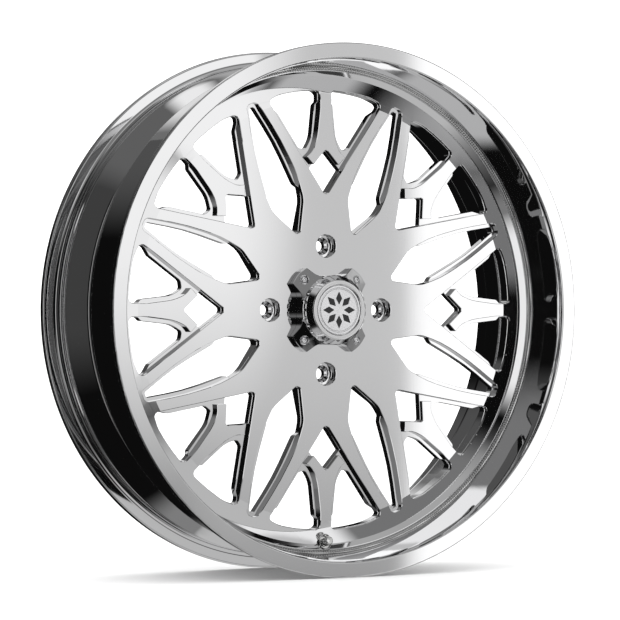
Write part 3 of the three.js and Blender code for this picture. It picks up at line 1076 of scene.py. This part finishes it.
class WHEEL_OT_cap_base(bpy.types.Operator):
    """Builds the cap's four-armed base with its boss, spigot and screw pockets"""

    bl_idname = "wheel.cap_base"
    bl_label = "Cap base"

    def execute(self, context):
        shell = Shell()
        creases = [43.1]
        outline = split_at(cap_outline(), creases)
        inner = offset(outline, -0.45)
        upper = flat_points(inner, dome(np.hypot(inner[:, 0], inner[:, 1])))
        rim_y = dome(np.hypot(outline[:, 0], outline[:, 1])) + 0.45
        foot = FACE - 0.3
        shell.strip([upper, flat_points(outline, rim_y), flat_points(outline, foot)])
        pockets = []
        for k in range(4):
            arm = math.pi / 4 + k * math.pi / 2
            centre = (SCREW_CIRCLE * math.sin(arm), SCREW_CIRCLE * math.cos(arm))
            mouth = split_at(circle(5.7, 48, centre), creases)
            wall = np.array(centre) + (mouth - centre) * (5.4 / 5.7)
            mouth_y = dome(np.hypot(mouth[:, 0], mouth[:, 1]))
            rings = [
                flat_points(mouth, mouth_y),
                flat_points(wall, mouth_y + 0.3),
                flat_points(wall, FACE - 8),
            ]
            shell.strip(rings)
            shell.fan(rings[-1], (centre[0], FACE - 8, centre[1]))
            pockets.append(mouth)
        boss = circle(34, 96)
        shell.add(*sheet([inner, boss, *pockets], dome, creases))
        spigot = circle(BORE - 0.3, 96)
        shell.add(*sheet([outline, spigot], lambda radius: foot + 0 * radius))
        section = np.array(
            [
                (BORE - 0.3, foot),
                (BORE - 0.3, FACE + 8.4),
                (BORE - 0.9, FACE + 9),
                (29.6, FACE + 9),
                (29, FACE + 8.4),
                (29, FACE - 25.8),
                (29.4, FACE - 26.2),
                (33.6, FACE - 26.2),
                (34, FACE - 25.8),
                (34, FACE - CAP_TOP),
            ]
        )
        shell.strip(lathe(section, round_turns(96), closed=False))
        thing = shell.piece("cap_base_body", [cap_alloy()])
        finish_piece(thing, "wheel", "cap_alloy", "cap_base")
        return {"FINISHED"}


class WHEEL_OT_cap_crown(bpy.types.Operator):
    """Turns the cap's crown and cuts the notches round its grip"""

    bl_idname = "wheel.cap_crown"
    bl_label = "Cap crown"

    def execute(self, context):
        top = FACE - 32.4
        bottom = FACE - CAP_TOP - 0.3
        section = rounded(
            [
                (CROWN_RADIUS - 0.2, bottom, 0.2),
                (CROWN_RADIUS, bottom - 0.8, 0.4),
                (CROWN_RADIUS, bottom - 2, 0),
                (CROWN_RADIUS, bottom - 3.6, 0),
                (CROWN_RADIUS, FACE - 22.8, 0.4),
                (CROWN_RADIUS - 0.9, FACE - 23.6, 0.3),
                (36.6, top + 0.7, 0.3),
                (35.6, top, 0.5),
                (31.2, top, 0.4),
                (30.3, top + 0.9, 0.3),
                (30.3, FACE - 29.3, 0),
                (20, FACE - 29.3, 0),
                (20, FACE - 27, 0),
                (34.3, FACE - 26.6, 0),
                (34.3, FACE - 20.6, 0.2),
                (37.2, FACE - 20.6, 0.2),
                (37.2, bottom, 0.2),
            ]
        )
        turns = round_turns(settings().knurls * 24)
        rings = lathe(section, turns)
        radius = np.hypot(rings[..., 0], rings[..., 2])
        wave = np.cos(turns * settings().knurls)[None]
        notch = 1.2 * np.clip((wave - 0.2) / 0.45, 0, 1)
        depth = np.clip((radius - 41.5) / 0.6, 0, 1) * notch
        shrink = (radius - depth) / radius
        rings = rings * np.stack([shrink, np.ones_like(shrink), shrink], 2)
        shell = Shell()
        shell.strip(rings)
        thing = shell.piece("cap_crown_ring", [cap_alloy()], math.radians(20))
        finish_piece(thing, "cap_top", "cap_alloy", "cap_crown")
        return {"FINISHED"}


class WHEEL_OT_badge(bpy.types.Operator):
    """Turns the badge plate and lays a rosette of enamel lozenges on it"""

    bl_idname = "wheel.badge"
    bl_label = "Badge"

    def execute(self, context):
        top = FACE - 31.1
        section = rounded(
            [
                (0.01, top, 0),
                (25.4, top, 0.3),
                (25.8, top + 0.35, 0.2),
                (26.8, top + 0.35, 0.2),
                (27.2, top, 0.3),
                (29.4, top, 0.2),
                (29.9, top + 0.5, 0.2),
                (29.9, FACE - 29.6, 0),
                (0.01, FACE - 29.6, 0),
            ]
        )
        shell = Shell()
        shell.strip(lathe(section, round_turns(192)))
        plate = shell.piece("badge_disc", [badge_alloy()])
        finish_piece(plate, "cap_top", "badge_plate", "cap_badge")
        shell = Shell()
        for k in range(8):
            petal = rounded([(0, 6.5, 0.3), (4.3, 14, 0.6), (0, 22.5, 0.3), (-4.3, 14, 0.6)])
            petal = spun(petal, k * TURN / 8)
            shell.strip([flat_points(petal, top + 0.1), flat_points(petal, top - 0.15)])
            shell.add(*sheet([petal], lambda radius: top - 0.15 + 0 * radius))
            shell.add(*sheet([petal], lambda radius: top + 0.1 + 0 * radius))
        rosette = shell.piece("badge_rosette", [enamel()])
        finish_piece(rosette, "cap_top", "badge_plate")
        return {"FINISHED"}


def hexagon(radius, turns):
    """Distance from the axis of a hexagon with the given corner radius, at each turn.

    It is radius cos(30 deg) / cos(a), with a the angle to the middle of the nearest side.
    """
    a = np.mod(turns, TURN / 6) - TURN / 12
    return radius * math.cos(TURN / 12) / np.cos(a)


class WHEEL_OT_screws(bpy.types.Operator):
    """Turns the four domed cap screws with hexagon sockets"""

    bl_idname = "wheel.screws"
    bl_label = "Cap screws"

    def execute(self, context):
        seat = FACE - 8.3
        turns = round_turns(48)
        outer = rounded(
            [
                (0.01, FACE + 11, 0),
                (2.0, FACE + 11, 0.2),
                (2.3, FACE + 10.6, 0.2),
                (2.3, seat, 0),
                (4.75, seat, 0.15),
                (4.75, seat - 0.8, 0.4),
                (4.0, seat - 2.2, 0.9),
                (2.6, seat - 2.65, 0.3),
                (2.3, seat - 2.65, 0),
            ],
            closed=False,
        )
        rings = lathe(outer, turns, closed=False)
        for radius, level in ((2.0, -2.55), (1.8, -2.3), (1.8, -0.9), (0.02, -0.4)):
            r = hexagon(radius, turns)
            y = np.full(len(turns), seat + level)
            ring = np.stack([r * np.sin(turns), y, r * np.cos(turns)], 1)
            rings = np.concatenate([rings, ring[None]])
        for k in range(4):
            arm = math.pi / 4 + k * math.pi / 2
            centre = np.array([SCREW_CIRCLE * math.sin(arm), 0, SCREW_CIRCLE * math.cos(arm)])
            shell = Shell()
            shell.strip(rings + centre)
            shell.fan(rings[0] + centre, centre + (0, FACE + 11, 0))
            shell.fan(rings[-1] + centre, centre + (0, seat - 0.4, 0))
            thing = shell.piece(f"cap_screw_head_{k + 1}", [screw_steel()], math.radians(25))
            finish_piece(thing, "wheel", "screw_steel", f"cap_screw_{k + 1}")
        return {"FINISHED"}


# ---- valve ----


def valve_turned(section, turns, shape=None):
    """Rings of a section of (radius, t) turned about the valve's axis.

    shape gives the distance from the axis at (radius, t, turn) and is the radius by default.
    """
    r = section[:, :1]
    t = section[:, 1:]
    w = turns[None]
    distance = r + 0 * w if shape is None else shape(r, t, w)
    return valve_point(distance * np.sin(w), distance * np.cos(w), t + 0 * w)


class WHEEL_OT_valve_nut(bpy.types.Operator):
    """Cuts the valve's hexagon nut with its rounded chamfers"""

    bl_idname = "wheel.valve_nut"
    bl_label = "Valve nut"

    def execute(self, context):
        section = np.array(
            [(4.15, 5.4), (4.7, 4.9), (7.2, 4.9), (8.4, 5.7), (8.4, 10.2), (7.7, 10.9), (4.15, 10.9)]
        )
        section = np.vstack([section, section[:1]])
        turns = round_turns(96)

        def shape(r, t, w):
            return np.minimum(r, np.where(r > 5, hexagon(8.1, w), 99))

        shell = Shell()
        shell.strip(valve_turned(section, turns, shape))
        thing = shell.piece("valve_nut_hex", [valve_plate()], math.radians(20))
        finish_piece(thing, "wheel", "valve_plate", "valve_nut")
        return {"FINISHED"}


class WHEEL_OT_valve_cap(bpy.types.Operator):
    """Turns the valve's cap and mills the flutes round it"""

    bl_idname = "wheel.valve_cap"
    bl_label = "Valve cap"

    def execute(self, context):
        section = rounded(
            [
                (0.01, -4.8, 0),
                (4.15, -4.8, 0),
                (4.15, 4, 0),
                (5, 4, 0.2),
                (5.3, 3.4, 0.3),
                (5.3, 2.6, 0),
                (5.3, -6.2, 0),
                (5.3, -7.4, 0.5),
                (4.3, -8.9, 0.6),
                (0.01, -9.1, 0),
            ]
        )
        section = np.vstack([section, section[:1]])

        def shape(r, t, w):
            flute = np.clip((np.cos(w * 12) - 0.1) / 0.9, 0, 1)
            along = np.clip((2.9 - t) / 0.6, 0, 1) * np.clip((t + 7.2) / 1.2, 0, 1)
            return r - np.where(r > 4.9, 0.55 * flute * along, 0)

        shell = Shell()
        shell.strip(valve_turned(section, round_turns(144), shape))
        thing = shell.piece("valve_cap_fluted", [valve_plate()], math.radians(30))
        finish_piece(thing, "valve_top", "valve_plate", "valve_cap")
        return {"FINISHED"}


class WHEEL_OT_fittings(bpy.types.Operator):
    """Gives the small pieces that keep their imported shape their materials"""

    bl_idname = "wheel.fittings"
    bl_label = "Small fittings"

    def execute(self, context):
        choices = {
            "cap_oring": rubber,
            "valve_stem": valve_plate,
            "valve_grommet": rubber,
            "valve_washer": valve_plate,
            "valve_core": brass,
            "valve_core_pin": brass,
            "valve_core_spring": screw_steel,
            "valve_core_seal": rubber,
            "valve_cap_seal": rubber,
        }
        for name, choice in choices.items():
            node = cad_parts[name]
            node.data.materials.clear()
            node.data.materials.append(choice())
            node.data.shade_smooth()
            node.data.set_sharp_from_angle(angle=math.radians(30))
        return {"FINISHED"}


# ---- running and registering ----

OPERATORS = [
    WHEEL_OT_barrel,
    WHEEL_OT_disc,
    WHEEL_OT_welds,
    WHEEL_OT_cap_base,
    WHEEL_OT_cap_crown,
    WHEEL_OT_badge,
    WHEEL_OT_screws,
    WHEEL_OT_valve_nut,
    WHEEL_OT_valve_cap,
    WHEEL_OT_fittings,
]


class WHEEL_OT_stage(bpy.types.Operator):
    """Sets up the floor, the light and the camera"""

    bl_idname = "wheel.stage"
    bl_label = "Stage"

    def execute(self, context):
        make_floor()
        make_world()
        make_camera()
        return {"FINISHED"}


def make_floor():
    """A large pale floor under the wheel, seen by the camera but not in the polished metal."""
    size = 40.0
    mesh = bpy.data.meshes.new("studio_floor")
    z = -RIM_RADIUS * MM
    corners = [(-size, -size, z), (size, -size, z), (size, size, z), (-size, size, z)]
    mesh.from_pydata(corners, [], [(0, 1, 2, 3)])
    material = bpy.data.materials.new("studio_floor")
    material.use_nodes = True
    shader = material.node_tree.nodes["Principled BSDF"]
    shader.inputs["Base Color"].default_value = (0.9, 0.9, 0.9, 1)
    shader.inputs["Roughness"].default_value = 0.9
    shader.inputs["Specular IOR Level"].default_value = 0.0
    mesh.materials.append(material)
    floor = bpy.data.objects.new("studio_floor", mesh)
    bpy.context.scene.collection.objects.link(floor)
    floor.visible_glossy = False


def build_panel(tree, given, made):
    """A soft-edged panel of light on the sky.

    Its value is the brightness times a smooth step from the panel's edge inwards, across and up.
    """
    value = given["Brightness"]
    for angle, centre, half, soft in (
        ("Across", "Centre across", "Half width", "Soft across"),
        ("Up", "Centre up", "Half height", "Soft up"),
    ):
        away = calc(tree, "ABSOLUTE", calc(tree, "SUBTRACT", given[angle], given[centre]))
        share = calc(tree, "DIVIDE", calc(tree, "SUBTRACT", given[half], away), given[soft])
        step = tree.nodes.new("ShaderNodeMapRange")
        step.interpolation_type = "SMOOTHSTEP"
        step.inputs["From Min"].default_value = -0.5
        step.inputs["From Max"].default_value = 0.5
        tree.links.new(share, step.inputs["Value"])
        value = calc(tree, "MULTIPLY", value, step.outputs["Result"])
    tree.links.new(value, made["Value"])


# Panels of the studio, as reflected in the metal: centre across and up, half width and height,
# softness across and up, in degrees, and brightness. Across is measured from the wheel's front
# (-Y) towards +X, and up from the horizon.
PANELS = [
    (20, 12.5, 9.9, 14.8, 3, 8, 0.95),
    (5, 4, 9, 14, 5, 8, 0.9),
    (35.5, 12.5, 8.5, 17.5, 3, 10, 0.58),
    (37.3, -5, 6, 19, 0.7, 6, 1.15),
    (20, -19, 13, 11, 6, 7, 0.5),
    (8, 32, 36, 18, 16, 12, 0.2),
    (50, 14, 8, 12, 6, 8, 0.13),
    (58, -8, 14, 18, 6, 8, 0.24),
    (-40, -24, 20, 16, 8, 10, 0.2),
    (-58, 0, 7, 30, 5, 14, 0.9),
    (-80, 20, 14, 40, 10, 30, 0.05),
    (-112, 0, 1.5, 40, 1, 16, 0.7),
    (-122, 0, 6, 60, 5, 30, 0.08),
    (0, 90, 400, 9, 1, 8, 0.9),
    (0, 75, 400, 30, 1, 20, 0.12),
    (0, -90, 400, 14, 1, 12, 0.22),
    (120, 5, 28, 36, 8, 20, 0.75),
    (64, 22, 8, 8, 6, 8, 0.5),
    (146, -14, 16, 12, 12, 10, 0.28),
    (65, -64, 105, 24, 30, 14, 0.5),
    (60, 62, 110, 16, 30, 10, 0.4),
    (180, 45, 60, 25, 40, 14, 0.16),
    (-180, 45, 60, 25, 40, 14, 0.08),
    (166, 24, 9, 8, 12, 8, 0.75),
    (180, 33, 20, 0.8, 16, 1, 0.8),
    (-180, 33, 20, 0.8, 16, 1, 0.8),
]


BASE_LIGHT = 0.004  # what a reflection meets where no panel stands
BACKDROP_STRENGTH = 1.7  # the white that the camera and matt surfaces see


def make_world():
    """The studio: white to the eye and to the floor, soft panels to the polished metal."""
    world = bpy.data.worlds.new("studio")
    bpy.context.scene.world = world
    world.use_nodes = True
    world.cycles.sampling_method = "NONE"
    tree = world.node_tree
    tree.nodes.clear()
    number = "NodeSocketFloat"
    labels = [
        "Across",
        "Up",
        "Centre across",
        "Centre up",
        "Half width",
        "Half height",
        "Soft across",
        "Soft up",
        "Brightness",
    ]
    node_group(
        "light_panel", [(n, number, 0.0) for n in labels], [("Value", number)], build_panel
    )
    axes = tree.nodes.new("ShaderNodeSeparateXYZ")
    tree.links.new(tree.nodes.new("ShaderNodeTexCoord").outputs["Generated"], axes.inputs[0])
    forward = calc(tree, "MULTIPLY", axes.outputs["Y"], -1)
    degrees = 360 / TURN
    turn = calc(tree, "ARCTAN2", axes.outputs["X"], forward)
    across = calc(tree, "MULTIPLY", turn, degrees)
    up = calc(tree, "MULTIPLY", calc(tree, "ARCSINE", axes.outputs["Z"]), degrees)
    total = BASE_LIGHT
    for panel in PANELS:
        values = dict(zip([n.replace(" ", "_") for n in labels[2:]], map(float, panel)))
        lit = place_group(tree, "light_panel", Across=across, Up=up, **values)
        total = calc(tree, "MAXIMUM", total, lit["Value"])
    join = tree.nodes.new("ShaderNodeCombineColor")
    for socket in join.inputs[:3]:
        tree.links.new(total, socket)
    seen = tree.nodes.new("ShaderNodeBackground")
    seen.inputs["Strength"].default_value = BACKDROP_STRENGTH
    lit = tree.nodes.new("ShaderNodeBackground")
    tree.links.new(join.outputs[0], lit.inputs["Color"])
    mix = tree.nodes.new("ShaderNodeMixShader")
    rays = tree.nodes.new("ShaderNodeLightPath")
    matt = calc(tree, "MAXIMUM", rays.outputs["Is Camera Ray"], rays.outputs["Is Diffuse Ray"])
    tree.links.new(matt, mix.inputs["Fac"])
    seen.inputs["Color"].default_value = (1, 1, 1, 1)
    tree.links.new(lit.outputs[0], mix.inputs[1])
    tree.links.new(seen.outputs[0], mix.inputs[2])
    out = tree.nodes.new("ShaderNodeOutputWorld")
    tree.links.new(mix.outputs[0], out.inputs["Surface"])
    bpy.context.scene.view_settings.view_transform = "Standard"


CAMERA_DISTANCE = 4.221
CAMERA_TURN = 0.519125  # from straight in front of the wheel, towards its left
CAMERA_ASIDE = 0.0198
CAMERA_LENS = 201.0


def make_camera():
    """A long lens at the height of the axis, turned to the wheel's left."""
    c, s = math.cos(CAMERA_TURN), math.sin(CAMERA_TURN)
    data = bpy.data.cameras.new("camera")
    data.lens = CAMERA_LENS
    data.sensor_width = 36
    data.clip_end = 200
    camera = bpy.data.objects.new("camera", data)
    right, back = Vector((c, -s, 0)), Vector((-s, -c, 0))
    place = Vector((0, FACE * MM, 0)) + back * CAMERA_DISTANCE - right * CAMERA_ASIDE
    turned = Matrix((right, (0, 0, 1), back)).transposed().to_4x4()
    camera.matrix_world = Matrix.Translation(place) @ turned
    bpy.context.scene.collection.objects.link(camera)
    bpy.context.scene.camera = camera


class WHEEL_PT_panel(bpy.types.Panel):
    """Lists the wheel's settings and the steps that build it"""

    bl_idname = "WHEEL_PT_panel"
    bl_label = "Wheel Rim"
    bl_space_type = "VIEW_3D"
    bl_region_type = "UI"
    bl_category = "Wheel Rim"

    def draw(self, context):
        for name in WheelSettings.__annotations__:
            self.layout.prop(context.scene.wheel_settings, name)
        for operator in [*OPERATORS, WHEEL_OT_stage]:
            self.layout.operator(operator.bl_idname)


def register():
    for item in (WheelSettings, *OPERATORS, WHEEL_OT_stage, WHEEL_PT_panel):
        bpy.utils.register_class(item)
    bpy.types.Scene.wheel_settings = PointerProperty(type=WheelSettings)


def unregister():
    del bpy.types.Scene.wheel_settings
    for item in reversed((WheelSettings, *OPERATORS, WHEEL_OT_stage, WHEEL_PT_panel)):
        bpy.utils.unregister_class(item)


def main():
    """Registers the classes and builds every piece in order."""
    register()
    for operator in [*OPERATORS, WHEEL_OT_stage]:
        group, name = operator.bl_idname.split(".")
        getattr(getattr(bpy.ops, group), name)()


if __name__ == "__main__":
    main()
